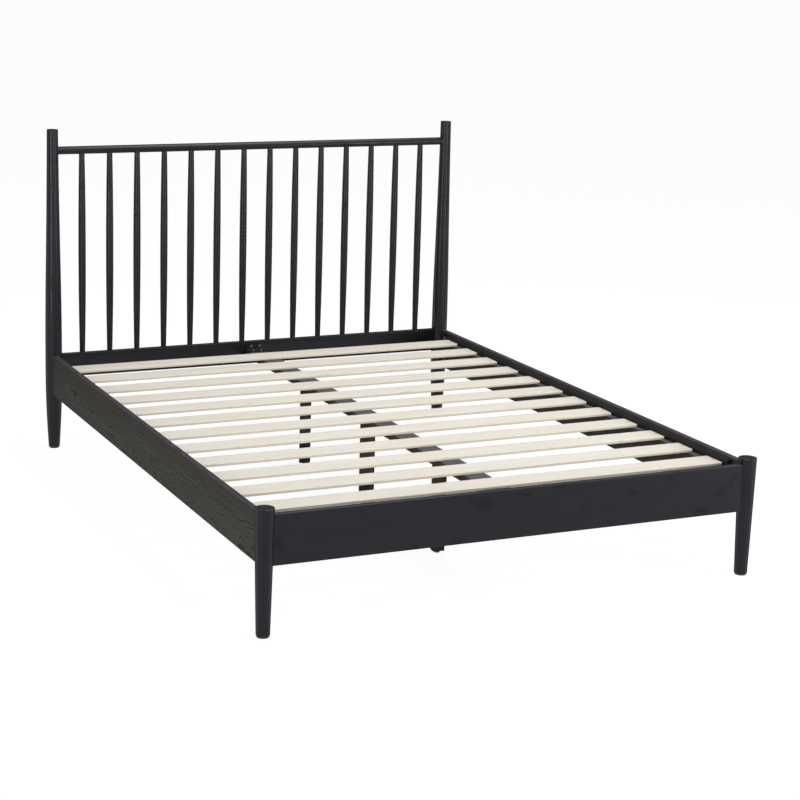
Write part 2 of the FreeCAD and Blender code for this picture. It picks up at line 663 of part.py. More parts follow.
def makeBracketScrews():
    screws = {}
    for name, direction in (("rail_screw", (0, 1, 0)), ("beam_screw", (0, 0, -1))):
        screw = addBody(name, keep=False)
        back = tuple(-part for part in direction)
        addRound(screw, "Additive", "head", ("0", "0", "0"), back, "Sizes.screw_head_radius",
                 "Sizes.screw_head_thickness")
        addRound(screw, "Additive", "shank", ("0", "0", "0"), direction, "Sizes.screw_radius",
                 "Sizes.screw_length")
        screws[name] = screw
    sheet = "Sizes.bracket_sheet"
    railSpots = []
    beamSpots = []
    for x in ("-Sizes.bracket_spread", "Sizes.bracket_spread"):
        for face, way, turn in (("Layout.head_face", "-", 0), ("Layout.foot_face", "+", 180)):
            railSpots.append((x, f"{face} {way} {sheet}", "Layout.screw_z", turn))
            beamSpots.append((x, f"{face} {way} Sizes.bracket_reach / 2",
                              f"Layout.ledger_top + {sheet}", turn))
    placeCopies("rail_screws", screws["rail_screw"], railSpots)
    placeCopies("beam_screws", screws["beam_screw"], beamSpots)


for side, name in ((-1, "left"), (1, "right")):
    makeHeadPost(f"head_post_{name}", side)
    makeFootPost(f"foot_post_{name}", side)
    makeSideRail(f"side_rail_{name}", side)
    makeLedger(f"ledger_{name}", side)
makeTopRail()
for number in range(round(valueOf("Sizes.spindle_count"))):
    makeSpindle(f"spindle_{number + 1:02d}", number)
lowerRail = makeEndRail("headboard_lower_rail", "Layout.head_y", "Sizes.head_rail_height")
drillSpindles(lowerRail, "Sizes.head_rail_height", "Sizes.spindle_tenon_radius",
              "Sizes.spindle_tenon_length")
cutScrewHoles(lowerRail, "-Sizes.board_thickness / 2", 1,
              "Layout.screw_z - Layout.rail_top + Sizes.head_rail_height")
footboard = makeEndRail("footboard_rail", "Layout.foot_y - Layout.board_middle",
                        "Sizes.rail_height")
cutScrewHoles(footboard, "Sizes.board_thickness / 2", -1,
              "Layout.screw_z - Sizes.rail_bottom")
for number in range(round(valueOf("Sizes.slat_count"))):
    makeSlat(f"slat_{number + 1:02d}", number)
makeBeam()
makeBracket("beam_bracket_head", "Layout.head_face", 1)
makeBracket("beam_bracket_foot", "Layout.foot_face", -1)
makeLeg("head", "Layout.well_y + Layout.leg_spacing", "Sizes.leg_turn_head")
makeLeg("middle", "Layout.well_y", "Sizes.leg_turn_middle")
makeLeg("foot", "Layout.well_y - Layout.leg_spacing", "Sizes.leg_turn_foot")
makePostGlides()
makeCornerFittings()
makeHangers()
makeBracketScrews()

document.recompute()
failed = [item.Label for item in document.Objects
          if "Invalid" in item.State or "Error" in item.State]
if failed:
    raise SystemExit(f"failed: {failed}")
for node in nodes:
    if node.Shape.isNull() or not node.Shape.isValid():
        raise SystemExit(f"bad shape: {node.Label}")
os.makedirs("parts", exist_ok=True)
for node in nodes:
    node.Shape.exportStep(f"parts/{node.Label}.step")
print(len(nodes), "sub-parts written")
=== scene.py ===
import math

import bmesh
import bpy
from mathutils import Euler, Matrix, Vector


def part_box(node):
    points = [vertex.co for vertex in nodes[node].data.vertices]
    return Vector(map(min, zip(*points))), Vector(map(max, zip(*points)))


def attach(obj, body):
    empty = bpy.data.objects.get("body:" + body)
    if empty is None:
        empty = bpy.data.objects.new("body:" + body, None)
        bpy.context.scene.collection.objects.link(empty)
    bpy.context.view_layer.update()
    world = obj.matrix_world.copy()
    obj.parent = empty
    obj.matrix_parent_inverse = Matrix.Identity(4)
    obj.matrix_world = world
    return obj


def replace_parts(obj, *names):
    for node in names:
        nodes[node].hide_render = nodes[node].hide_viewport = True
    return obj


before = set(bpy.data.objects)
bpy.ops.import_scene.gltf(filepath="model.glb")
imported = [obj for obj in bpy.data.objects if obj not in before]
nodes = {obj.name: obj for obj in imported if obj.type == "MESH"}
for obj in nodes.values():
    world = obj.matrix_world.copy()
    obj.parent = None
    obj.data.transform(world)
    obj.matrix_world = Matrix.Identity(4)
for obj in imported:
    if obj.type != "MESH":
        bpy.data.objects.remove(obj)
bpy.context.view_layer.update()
millimetre = 0.001
print("frame loaded:", len(nodes), "nodes")

camera = {
    "place": (-2.7051, -5.9212, 1.9454),
    "yaw": 24.5436,         # degrees to the right of straight ahead
    "pitch": 11.396,        # degrees below the horizon
    "roll": 1.4574,
    "lens": 90.5,
    "shiftX": 0.0375,
    "shiftY": -0.1,
}


def placeCamera():
    eye = bpy.data.cameras.new("camera")
    eye.lens = camera["lens"]
    eye.shift_x = camera["shiftX"]
    eye.shift_y = camera["shiftY"]
    eye.clip_end = 400
    holder = bpy.data.objects.new("camera", eye)
    bpy.context.scene.collection.objects.link(holder)
    aim = Euler((math.radians(90 - camera["pitch"]), 0, math.radians(-camera["yaw"])))
    turn = aim.to_matrix() @ Matrix.Rotation(math.radians(camera["roll"]), 3, "Z")
    holder.matrix_world = Matrix.Translation(camera["place"]) @ turn.to_4x4()
    bpy.context.scene.camera = holder


studio = {
    "skyLight": 0.38,       # what the room gives to the object
    "floorWhite": 0.92,     # share of the floor's white that shadows leave alone
    "floorShade": 0.15,     # share that they darken
    "floorGrey": 0.62,      # what the floor throws back on the object
    "floorSize": 160,
}


def seenDirectly(tree):
    # 1 for rays from the camera, off metal and through glass, 0 for light
    path = tree.nodes.new("ShaderNodeLightPath")
    seen = path.outputs["Is Camera Ray"]
    for ray in ("Is Glossy Ray", "Is Transmission Ray"):
        larger = tree.nodes.new("ShaderNodeMath")
        larger.operation = "MAXIMUM"
        tree.links.new(seen, larger.inputs[0])
        tree.links.new(path.outputs[ray], larger.inputs[1])
        seen = larger.outputs[0]
    return seen


def joinShades(tree, outputKind, shades):
    mix = tree.nodes.new("ShaderNodeMixShader")
    tree.links.new(seenDirectly(tree), mix.inputs[0])
    for socket, shade in zip((1, 2), shades):
        tree.links.new(shade.outputs[0], mix.inputs[socket])
    output = tree.nodes.new(outputKind)
    tree.links.new(mix.outputs[0], output.inputs["Surface"])


def makeRoom():
    world = bpy.data.worlds.new("room")
    bpy.context.scene.world = world
    world.use_nodes = True
    tree = world.node_tree
    tree.nodes.clear()
    shades = []
    for strength in (studio["skyLight"], 1):
        shade = tree.nodes.new("ShaderNodeBackground")
        shade.inputs["Color"].default_value = (1, 1, 1, 1)
        shade.inputs["Strength"].default_value = strength
        shades.append(shade)
    joinShades(tree, "ShaderNodeOutputWorld", shades)


def makeFloor():
    material = bpy.data.materials.new("paleFloor")
    material.use_nodes = True
    tree = material.node_tree
    tree.nodes.clear()
    thrown = tree.nodes.new("ShaderNodeBsdfDiffuse")
    thrown.inputs["Color"].default_value = (*[studio["floorGrey"]] * 3, 1)
    shaded = tree.nodes.new("ShaderNodeBsdfDiffuse")
    shaded.inputs["Color"].default_value = (*[studio["floorShade"]] * 3, 1)
    white = tree.nodes.new("ShaderNodeEmission")
    white.inputs["Strength"].default_value = studio["floorWhite"]
    both = tree.nodes.new("ShaderNodeAddShader")
    tree.links.new(shaded.outputs[0], both.inputs[0])
    tree.links.new(white.outputs[0], both.inputs[1])
    joinShades(tree, "ShaderNodeOutputMaterial", (thrown, both))
    shape = bmesh.new()
    bmesh.ops.create_grid(shape, x_segments=8, y_segments=8, size=studio["floorSize"] / 2)
    mesh = bpy.data.meshes.new("floor")
    shape.to_mesh(mesh)
    shape.free()
    mesh.materials.append(material)
    floor = bpy.data.objects.new("floor", mesh)
    floor.location.z = -0.2 * millimetre
    bpy.context.scene.collection.objects.link(floor)


# place, point it looks at, width, height, power
lamps = {
    "topBox": ((0.9, -0.2, 4.2), (0, 0, 0.3), 3.6, 1.8, 90),
    "leftBox": ((-4.6, -0.4, 1.8), (0, 0, 0.4), 1.6, 1.8, 5),
    "leftStrip": ((-4.0, -2.2, 0.9), (-0.4, 0.4, 0.7), 0.16, 1.8, 40),
    "rightStrip": ((2.2, -2.7, 0.9), (0, 0.7, 0.7), 0.12, 1.8, 22),
    "frontBox": ((-0.6, -6.4, 1.3), (0, 0, 0.3), 3.0, 1.2, 74),
}


def hangLamps():
    for name, (place, target, width, height, power) in lamps.items():
        light = bpy.data.lights.new(name, "AREA")
        light.shape = "RECTANGLE"
        light.size = width
        light.size_y = height
        light.energy = power
        lamp = bpy.data.objects.new(name, light)
        lamp.location = place
        aim = Vector(target) - Vector(place)
        lamp.rotation_euler = aim.to_track_quat("-Z", "Y").to_euler()
        lamp.visible_camera = False
        bpy.context.scene.collection.objects.link(lamp)


placeCamera()
makeRoom()
makeFloor()
hangLamps()
bpy.context.scene.view_settings.view_transform = "Standard"
print("camera, floor and lamps placed")


class Finish:
    # a material with short calls for the nodes that wood, steel and plastic need
    def __init__(self, name):
        self.material = bpy.data.materials.new(name)
        self.material.use_nodes = True
        self.tree = self.material.node_tree
        self.shader = self.tree.nodes["Principled BSDF"]
        self.place = self.add("ShaderNodeTexCoord").outputs["Object"]
        apart = self.add("ShaderNodeSeparateXYZ", (self.place,))
        self.x, self.y, self.z = apart.outputs

    def add(self, kind, inputs=(), **settings):
        node = self.tree.nodes.new(kind)
        for name, value in settings.items():
            setattr(node, name, value)
        for socket, value in enumerate(inputs):
            self.feed(node.inputs[socket], value)
        return node

    def feed(self, socket, value):
        if isinstance(value, bpy.types.NodeSocket):
            self.tree.links.new(value, socket)
        elif value is not None:
            socket.default_value = value

    def calc(self, operation, *values):
        return self.add("ShaderNodeMath", values, operation=operation).outputs[0]

    def vector(self, operation, *values):
        return self.add("ShaderNodeVectorMath", values, operation=operation).outputs[0]

    def spread(self, value, low, high, toLow=0.0, toHigh=1.0):
        node = self.add("ShaderNodeMapRange", (value, low, high, toLow, toHigh))
        node.interpolation_type = "SMOOTHSTEP"
        return node.outputs[0]

    def noise(self, place, scale, detail=2.0, roughness=0.5):
        node = self.add("ShaderNodeTexNoise")
        self.feed(node.inputs["Vector"], place)
        node.inputs["Scale"].default_value = scale
        node.inputs["Detail"].default_value = detail
        node.inputs["Roughness"].default_value = roughness
        return node

    def grainNoise(self, place, axis, along, across, detail=2.0, roughness=0.5):
        # noise drawn out along the grain
        scale = [across] * 3
        scale["xyz".index(axis)] = along
        return self.noise(self.vector("MULTIPLY", place, scale), 1, detail, roughness)

    def addShare(self, tone, value, middle, share):
        return self.calc("MULTIPLY_ADD", self.calc("SUBTRACT", value, middle), share, tone)

    def tint(self, value, first, second):
        # from one colour at a value of 0 to another at 1
        ramp = self.add("ShaderNodeValToRGB", (value,))
        for element, colour in zip(ramp.color_ramp.elements, (first, second)):
            element.color = (*colour, 1)
        return ramp.outputs["Color"]

    def mix(self, factor, first, second):
        node = self.add("ShaderNodeMix", data_type="RGBA")
        self.feed(node.inputs[0], factor)
        for socket, colour in ((6, first), (7, second)):
            plain = isinstance(colour, tuple)
            self.feed(node.inputs[socket], (*colour, 1) if plain else colour)
        return node.outputs[2]

    def atRims(self, low, high):
        # from one value where the surface faces the eye to another at its rims
        facing = self.add("ShaderNodeLayerWeight", (0.5,)).outputs["Facing"]
        return self.spread(facing, 0.35, 0.82, low, high)

    def finish(self, colour, roughness, height, depth, specular, metal=0.0):
        self.feed(self.shader.inputs["Base Color"], colour)
        self.feed(self.shader.inputs["Roughness"], roughness)
        self.feed(self.shader.inputs["Specular IOR Level"], specular)
        self.shader.inputs["Metallic"].default_value = metal
        bump = self.add("ShaderNodeBump")
        bump.inputs["Strength"].default_value = 1.0
        bump.inputs["Distance"].default_value = depth * millimetre
        self.feed(bump.inputs["Height"], height)
        self.feed(self.shader.inputs["Normal"], bump.outputs["Normal"])
        return self.material


# Stained wood. The turned and jointed pieces are smooth, with grain that shows
# in a few patches only. The side rails show the thin dark lines and arches of a
# flat sawn board. Lengths are in millimetres.
closeGrain = {
    "dark": (0.0039, 0.0037, 0.0048),
    "light": (0.0096, 0.0091, 0.0116),
    # the next two colours are painted light, the lighter tone of the top faces
    "paintedShadingDark": (0.010, 0.0096, 0.012),
    "paintedShadingLight": (0.022, 0.021, 0.025),
    "ring": 4.2,            # from one ring to the next
    "sway": 24, "bend": 6, "jag": 1.6,
    "line": 0.40,           # share of a ring that its dark line takes
    "patch": (0.52, 0.70),  # where rings begin to show, and where they show fully
    "ringShare": 0.75, "fibreShare": 0.40, "blotchShare": 0.90, "poreShare": 0.15,
    "roughness": (0.24, 0.31), "depth": 0.006, "specular": 0.265, "dull": 0.60,
    "rimShine": 0.22,       # share of the gloss that is left at the rims
    "smudge": 0.26,         # share that a dull smudge takes away
    "grainShine": 0.5,
    "gloss": (0.89, 0.90, 1.0),
}
archedGrain = {
    "dark": (0.0105, 0.0090, 0.0072),
    "light": (0.0460, 0.0436, 0.0378),
    # the next two colours are painted light, the lighter tone of the top and bottom faces
    "paintedShadingDark": (0.034, 0.0335, 0.039),
    "paintedShadingLight": (0.056, 0.055, 0.064),
    "ring": 4.0,
    "sway": 62, "bend": 10, "jag": 1.4,
    "line": 0.66,
    "patch": (0.10, 0.46),
    "ringShare": 0.78, "fibreShare": 0.46, "blotchShare": 0.40, "poreShare": 0.26,
    "roughness": (0.50, 0.64), "depth": 0.07, "specular": 0.20, "dull": 0.35,
    "gloss": (1.0, 1.0, 1.0),
}
baseGrain = {
    "dark": (0.0120, 0.0092, 0.0066),
    "light": (0.0330, 0.0260, 0.0195),
    # the next two colours are painted light, the lighter tone of the top faces
    "paintedShadingDark": (0.078, 0.076, 0.081),
    "paintedShadingLight": (0.125, 0.122, 0.129),
    "ring": 3.0,
    "sway": 20, "bend": 6, "jag": 1.6,
    "line": 0.5,
    "patch": (0.22, 0.58),
    "ringShare": 0.45, "fibreShare": 0.60, "blotchShare": 0.70, "poreShare": 0.30,
    "roughness": (0.55, 0.70), "depth": 0.06, "specular": 0.18, "dull": 0.25,
    "rimShine": 0.6,
    "gloss": (1.0, 1.0, 1.0),
}
# the centre legs are browner, and painted shade darkens them at the foot
legGrain = {
    **baseGrain,
    "dark": (0.034, 0.026, 0.017),
    "light": (0.084, 0.068, 0.048),
    # the next two colours are painted shade, the darker tone at the legs' foot
    "paintedShadingDark": (0.0060, 0.0052, 0.0052),
    "paintedShadingLight": (0.0160, 0.0138, 0.0134),
}
# the side rails' inner faces, with their own darker, browner colour, and painted shade that
# darkens them down at the ledger; places in metres
innerFaceShade = {
    "dark": (0.0088, 0.0078, 0.0080),
    "light": (0.0310, 0.0268, 0.0244),
    # the painted shade at the ledger
    "deep": (0.0050, 0.0040, 0.0036),
    "from": 0.7762, "to": 0.7752,
    "upper": 0.3440, "lower": 0.3200,
    "deepest": 0.85,        # share of the deep colour at the ledger
}
# waves in a metre, along the grain and across it
grainSizes = {
    "sway": (2.6, 9), "bend": (13, 26), "jag": (50, 120),
    "fibre": (22, 760), "pore": (75, 1900),
    "blotch": (5, 22), "patch": (7, 16), "smudge": (13, 21),
}
ringShape = {
    "drift": 2.4,           # rings that the spacing drifts by
    "driftWaves": 60,       # in a metre
    "leastSlope": 0.22,
    "fade": 0.3,            # share of a dark line on its outer side
}


def stainedWood(name, look, grain, pith, lean, shadingHeights=(), inner=None):
    # rings round a pith line that runs nearly along the grain, outside the board
    wood = Finish(name)
    leaning = wood.add("ShaderNodeVectorRotate", rotation_type="EULER_XYZ")
    wood.feed(leaning.inputs["Vector"], wood.vector("SUBTRACT", wood.place, pith))
    leaning.inputs["Rotation"].default_value = [math.radians(angle) for angle in lean]
    place = leaning.outputs[0]
    bent = place
    for reach in ("sway", "bend", "jag"):
        noise = wood.grainNoise(place, grain, *grainSizes[reach], 1.5).outputs["Color"]
        shift = wood.vector("SUBTRACT", noise, (0.5, 0.5, 0.5))
        moved = wood.vector("MULTIPLY", shift, [look[reach] * millimetre] * 3)
        bent = wood.vector("ADD", bent, moved)
    flat = [1.0] * 3
    flat["xyz".index(grain)] = 0.0
    length = wood.add("ShaderNodeVectorMath", (wood.vector("MULTIPLY", bent, flat),),
                      operation="LENGTH")
    across = length.outputs["Value"]
    drift = wood.add("ShaderNodeTexNoise", noise_dimensions="1D")
    wood.feed(drift.inputs["W"], wood.calc("MULTIPLY", across, ringShape["driftWaves"]))
    drift.inputs["Scale"].default_value = 1
    rings = wood.calc("ADD", wood.calc("DIVIDE", across, look["ring"] * millimetre),
                      wood.calc("MULTIPLY", drift.outputs["Fac"], ringShape["drift"]))
    phase = wood.calc("FRACT", rings)
    # the dark lines stay thin where the board runs along a ring
    level = wood.add("ShaderNodeSeparateXYZ", (bent,)).outputs["Z"]
    slope = wood.calc("DIVIDE", wood.calc("ABSOLUTE", level), across)
    slope = wood.calc("MAXIMUM", slope, ringShape["leastSlope"])
    width = wood.calc("MULTIPLY", slope, look["line"])
    start = wood.calc("MULTIPLY_ADD", width, -ringShape["fade"], 1.0)
    ring = wood.calc("MULTIPLY", wood.spread(phase, 0.0, width),
                     wood.spread(phase, start, 1.0, 1.0, 0.0))
    fibre = wood.grainNoise(place, grain, *grainSizes["fibre"], 2, 0.6).outputs["Fac"]
    pores = wood.grainNoise(place, grain, *grainSizes["pore"], 1).outputs["Fac"]
    blotch = wood.grainNoise(place, grain, *grainSizes["blotch"], 3).outputs["Fac"]
    patches = wood.grainNoise(place, grain, *grainSizes["patch"], 2).outputs["Fac"]
    shown = wood.spread(patches, *look["patch"], 0.06, 1.0)
    pore = wood.calc("MULTIPLY", wood.spread(pores, 0.56, 0.66),
                     wood.calc("SUBTRACT", 1.15, ring))
    dark = wood.calc("MULTIPLY", wood.calc("SUBTRACT", 1.0, ring), shown)
    tone = wood.addShare(0.80, dark, 0.0, -look["ringShare"])
    tone = wood.addShare(tone, fibre, 0.5, look["fibreShare"])
    tone = wood.addShare(tone, blotch, 0.5, look["blotchShare"])
    tone = wood.addShare(tone, pore, 0.0, -look["poreShare"])
    colour = wood.tint(tone, look["dark"], look["light"])
    if inner:
        plain = wood.addShare(0.62, tone, 0.7, 0.8)
        shadedInner = wood.tint(plain, inner["dark"], inner["light"])
        # painted shade: the inner face turns darker down towards the ledger
        shadeBelow = wood.spread(wood.z, inner["upper"], inner["lower"], 0.0, inner["deepest"])
        shadedInner = wood.mix(shadeBelow, shadedInner, inner["deep"])
        inside = wood.spread(wood.calc("ABSOLUTE", wood.x), inner["from"], inner["to"])
        colour = wood.mix(inside, colour, shadedInner)
    for low, high in shadingHeights:
        # painted light and shade: the top faces turn lighter and greyer, a painted reflection
        # and highlight of the light from above; the rails' bottom faces take the same tone, and
        # the legs turn darker at the foot, painted shade
        even = wood.addShare(0.55, tone, 0.7, 0.7)
        edge = wood.tint(even, look["paintedShadingDark"], look["paintedShadingLight"])
        colour = wood.mix(wood.spread(wood.z, low, high), colour, edge)
    low, high = look["roughness"]
    rough = wood.calc("ADD", wood.spread(tone, 0.9, 0.1, low, high),
                      wood.atRims(0.0, look["dull"]))
    # the side rails' gloss is even, so it isn't linked
    shine = look["specular"]
    if "rimShine" in look:
        shine = wood.atRims(shine, shine * look["rimShine"])
    if "smudge" in look:
        # a few dull smudges, and grain in the gloss of the smooth pieces
        smudges = wood.grainNoise(place, grain, *grainSizes["smudge"], 1).outputs["Fac"]
        dull = wood.calc("MULTIPLY", wood.spread(smudges, 0.60, 0.74), look["smudge"])
        shine = wood.calc("MULTIPLY", shine, wood.calc("SUBTRACT", 1.0, dull))
        sheen = wood.addShare(1.0, fibre, 0.5, look["grainShine"])
        shine = wood.calc("MULTIPLY", shine, sheen)
    height = wood.calc("SUBTRACT", wood.calc("MULTIPLY", dark, -0.35), pore)
    wood.shader.inputs["Specular Tint"].default_value = (*look["gloss"], 1)
    return wood.finish(colour, rough, height, look["depth"], shine)


# Pale slats, glued up from thin plies that show along their edges. The last two
# rows are waves in a metre, along the grain and across it.
slatWood = {
    "pale": (0.880, 0.838, 0.755),
    "cream": (0.805, 0.745, 0.640),
    "streak": (0.560, 0.400, 0.280),
    "edge": (0.885, 0.735, 0.535),
    "glue": (0.330, 0.220, 0.130),
    "foot": 0.3145, "end": 0.7730,      # in metres
    "ply": 1.7,                         # in millimetres
    "streaks": (3.5, 150), "fine": (30, 900), "cloud": (2.2, 16),
    "thin": (6, 300), "where": (3, 20), "flecks": (26, 150), "marks": (26, 620),
}


def slatFinish(name, number, middle):
    wood = Finish(name)
    moved = wood.vector("ADD", wood.place, (3.1 * number, 1.7 * number, 0))
    raised = wood.calc("SUBTRACT", wood.z, slatWood["foot"])
    plies = wood.calc("DIVIDE", raised, slatWood["ply"] * millimetre)
    ply = wood.calc("FLOOR", plies)
    within = wood.calc("FRACT", plies)
    lift = wood.add("ShaderNodeCombineXYZ", (0.0, wood.calc("MULTIPLY", ply, 0.37), 0.0))
    plied = wood.vector("ADD", moved, lift.outputs[0])
    streaks = wood.grainNoise(plied, "x", *slatWood["streaks"], 3, 0.6).outputs["Fac"]
    fine = wood.grainNoise(plied, "x", *slatWood["fine"], 2, 0.6).outputs["Fac"]
    cloud = wood.grainNoise(plied, "x", *slatWood["cloud"], 2).outputs["Fac"]
    tone = wood.addShare(0.45, streaks, 0.5, 1.3)
    tone = wood.addShare(tone, fine, 0.5, 0.5)
    tone = wood.addShare(tone, cloud, 0.5, 1.7)
    face = wood.tint(tone, slatWood["pale"], slatWood["cream"])
    # reddish streaks, mostly near the long edges
    beside = wood.calc("ABSOLUTE", wood.calc("SUBTRACT", wood.y, middle))
    near = wood.spread(beside, 0.014, 0.040, 0.25, 1.0)
    thin = wood.grainNoise(plied, "x", *slatWood["thin"], 1).outputs["Fac"]
    where = wood.grainNoise(plied, "x", *slatWood["where"], 1).outputs["Fac"]
    streak = wood.calc("MULTIPLY", wood.spread(thin, 0.58, 0.70), wood.spread(where, 0.52, 0.68))
    streak = wood.calc("MULTIPLY", streak, near)
    flecks = wood.grainNoise(plied, "x", *slatWood["flecks"], 1).outputs["Fac"]
    flecks = wood.spread(flecks, 0.68, 0.75)
    streak = wood.calc("MAXIMUM", streak, wood.calc("MULTIPLY", flecks, near))
    face = wood.mix(wood.calc("MULTIPLY", streak, 0.72), face, slatWood["streak"])
    # the plies turn browner towards the bottom and at the sawn ends
    chance = wood.add("ShaderNodeTexWhiteNoise", noise_dimensions="1D")
    wood.feed(chance.inputs["W"], wood.calc("ADD", ply, 17.0 * number))
    low = wood.spread(raised, 0.0084, 0.0014)
    sawn = wood.spread(wood.calc("ABSOLUTE", wood.x), slatWood["end"] - 0.0014, slatWood["end"])
    bare = wood.calc("MAXIMUM", low, wood.calc("MULTIPLY", sawn, 0.6))
    browner = wood.calc("MULTIPLY", bare,
                        wood.calc("MULTIPLY_ADD", chance.outputs[0], 0.5, 0.5))
    side = wood.mix(browner, face, slatWood["edge"])
    marks = wood.grainNoise(plied, "x", *slatWood["marks"], 1).outputs["Fac"]
    mark = wood.calc("MULTIPLY", wood.spread(marks, 0.64, 0.74), low)
    line = wood.calc("MULTIPLY", wood.spread(within, 0.10, 0.02), 0.35)
    glued = wood.calc("MULTIPLY", line, wood.spread(raised, 0.0078, 0.0074))
    dark = wood.calc("MAXIMUM", glued, wood.calc("MULTIPLY", mark, 0.7))
    rough = wood.spread(fine, 0.2, 0.8, 0.55, 0.72)
    return wood.finish(wood.mix(dark, side, slatWood["glue"]), rough, fine, 0.05, 0.3)


def steelFinish(name, colour, grain, roughness, metal, depth, specular=0.5):
    steel = Finish(name)
    speckle = steel.noise(steel.place, grain, 3, 0.6).outputs["Fac"]
    wear = steel.noise(steel.place, grain / 9, 2).outputs["Fac"]
    shade = tuple(part * 0.72 for part in colour)
    tone = steel.addShare(steel.spread(speckle, 0.3, 0.7), wear, 0.5, 1.2)
    low, high = roughness
    rough = steel.spread(speckle, 0.3, 0.7, low, high)
    return steel.finish(steel.tint(tone, shade, colour), rough, speckle, depth, specular, metal)


def dress(node, material):
    mesh = nodes[node].data
    mesh.materials.clear()
    mesh.materials.append(material)


def pithBeside(node, across):
    # a point outside the piece, from the middle of its box
    low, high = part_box(node)
    return tuple((low + high) / 2 + Vector(across) * millimetre)


# heights in metres from which, and to which, the stain turns to a painted tone: lighter on the
# top faces, a painted reflection and highlight of light from above, the same on the rails'
# bottom faces, and darker at the legs' foot, painted shade
paintedShadingHeights = {
    # rails, rail tops, posts, ledgers and beam: painted light on their top faces
    "rail": ((0.3474, 0.3488), (0.2050, 0.2038)),
    "railTop": ((0.3474, 0.3488),),
    "headPost": ((1.1662, 1.1676),),
    "footPost": ((0.3662, 0.3676),),
    "ledger": ((0.3130, 0.3142),),
    "beam": ((0.3136, 0.3142),),
    # the legs: painted shade towards the foot
    "leg": ((0.135, 0.085),),
}
# a brighter tone on the footboard's top face, a painted highlight along its top edge
boardTopHighlight = {"paintedShadingDark": (0.018, 0.018, 0.023), "paintedShadingLight": (0.040, 0.040, 0.049)}
evenGrain = {"ringShare": 0.35, "smudge": 0.10}


def dressFrame():
    for side, sign in (("left", -1), ("right", 1)):
        dress(f"head_post_{side}", stainedWood(
            f"headPost_{side}", closeGrain, "z",
            pithBeside(f"head_post_{side}", (sign * 70, 34, 0)), (1.2, 0.5, 0),
            paintedShadingHeights["headPost"]))
        dress(f"foot_post_{side}", stainedWood(
            f"footPost_{side}", closeGrain, "z",
            pithBeside(f"foot_post_{side}", (-sign * 48, 40, 0)), (0.6, 1.0, 0),
            paintedShadingHeights["footPost"]))
        dress(f"side_rail_{side}", stainedWood(
            f"sideRail_{side}", archedGrain, "y",
            pithBeside(f"side_rail_{side}", (62, 0, -36)), (0.1, 0, -0.7),
            paintedShadingHeights["rail"], innerFaceShade))
        dress(f"ledger_{side}", stainedWood(
            f"ledger_{side}", baseGrain, "y",
            pithBeside(f"ledger_{side}", (30, 0, -60)), (0.4, 0, 0.5),
            paintedShadingHeights["ledger"]))
    dress("headboard_top_rail", stainedWood(
        "topRail", closeGrain, "x", pithBeside("headboard_top_rail", (0, 44, 30)),
        (0, 0.5, 0.4)))
    dress("headboard_lower_rail", stainedWood(
        "lowerRail", {**closeGrain, **evenGrain}, "x",
        pithBeside("headboard_lower_rail", (0, 70, -16)), (0, 0.3, 1.0),
        paintedShadingHeights["railTop"]))
    dress("footboard_rail", stainedWood(
        "footboard", {**closeGrain, **boardTopHighlight}, "x",
        pithBeside("footboard_rail", (0, 78, -20)), (0, 0.2, 1.2), paintedShadingHeights["rail"]))
    for number in range(1, 15):
        node = f"spindle_{number:02d}"
        angle = number * 2.4
        across = (40 * math.cos(angle), 40 * math.sin(angle), 0)
        dress(node, stainedWood(node, closeGrain, "z", pithBeside(node, across), (0.8, 0.4, 0)))


beamTone = {"dark": (0.022, 0.017, 0.012), "light": (0.052, 0.042, 0.032)}


def dressBase():
    dress("centre_beam", stainedWood(
        "centreBeam", {**baseGrain, **beamTone}, "y",
        pithBeside("centre_beam", (12, 0, -40)), (0.4, 0, 0.9), paintedShadingHeights["beam"]))
    for number, name in enumerate(("head", "middle", "foot")):
        node = f"centre_leg_{name}"
        dress(node, stainedWood(f"centreLeg_{name}", legGrain, "z",
                                pithBeside(node, (34, 26 - 30 * number, 0)), (1, 1, 0),
                                paintedShadingHeights["leg"]))
    for number in range(1, 13):
        node = f"slat_{number:02d}"
        low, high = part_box(node)
        dress(node, slatFinish(node, number, (low.y + high.y) / 2))


blackCoat = steelFinish("blackCoat", (0.008, 0.008, 0.010), 900, (0.30, 0.40), 0.0, 0.01, 0.24)
blackZinc = steelFinish("blackZinc", (0.088, 0.092, 0.085), 700, (0.22, 0.36), 0.9, 0.01)
zinc = steelFinish("zincPlate", (0.58, 0.59, 0.60), 500, (0.24, 0.40), 1.0, 0.01)
warmZinc = steelFinish("warmZinc", (0.60, 0.57, 0.48), 500, (0.28, 0.44), 1.0, 0.01)
nylon = steelFinish("blackNylon", (0.024, 0.024, 0.026), 800, (0.42, 0.58), 0.0, 0.02)


def softenEdges(node, width):
    bevel = nodes[node].modifiers.new("softEdges", "BEVEL")
    bevel.width = width * millimetre
    bevel.segments = 2
    bevel.limit_method = "ANGLE"
    bevel.angle_limit = math.radians(35)


def dressFittings():
    finishes = {
        "beam_bracket_head": blackCoat, "beam_bracket_foot": blackCoat,
        "rail_screws": blackZinc, "beam_screws": blackZinc,
        "rail_bolts": zinc, "rail_washers": zinc, "hanger_bolts": zinc,
        "post_inserts": warmZinc, "post_glides": nylon,
    }
    for name in ("head", "middle", "foot"):
        finishes[f"leg_insert_{name}"] = warmZinc
        finishes[f"leg_glide_{name}"] = nylon
    for node, material in finishes.items():
        dress(node, material)
    softenEdges("beam_bracket_head", 0.3)
    softenEdges("beam_bracket_foot", 0.3)
    softenEdges("rail_bolts", 0.4)


dressFrame()
dressBase()
dressFittings()
print("finishes made:", len(bpy.data.materials))

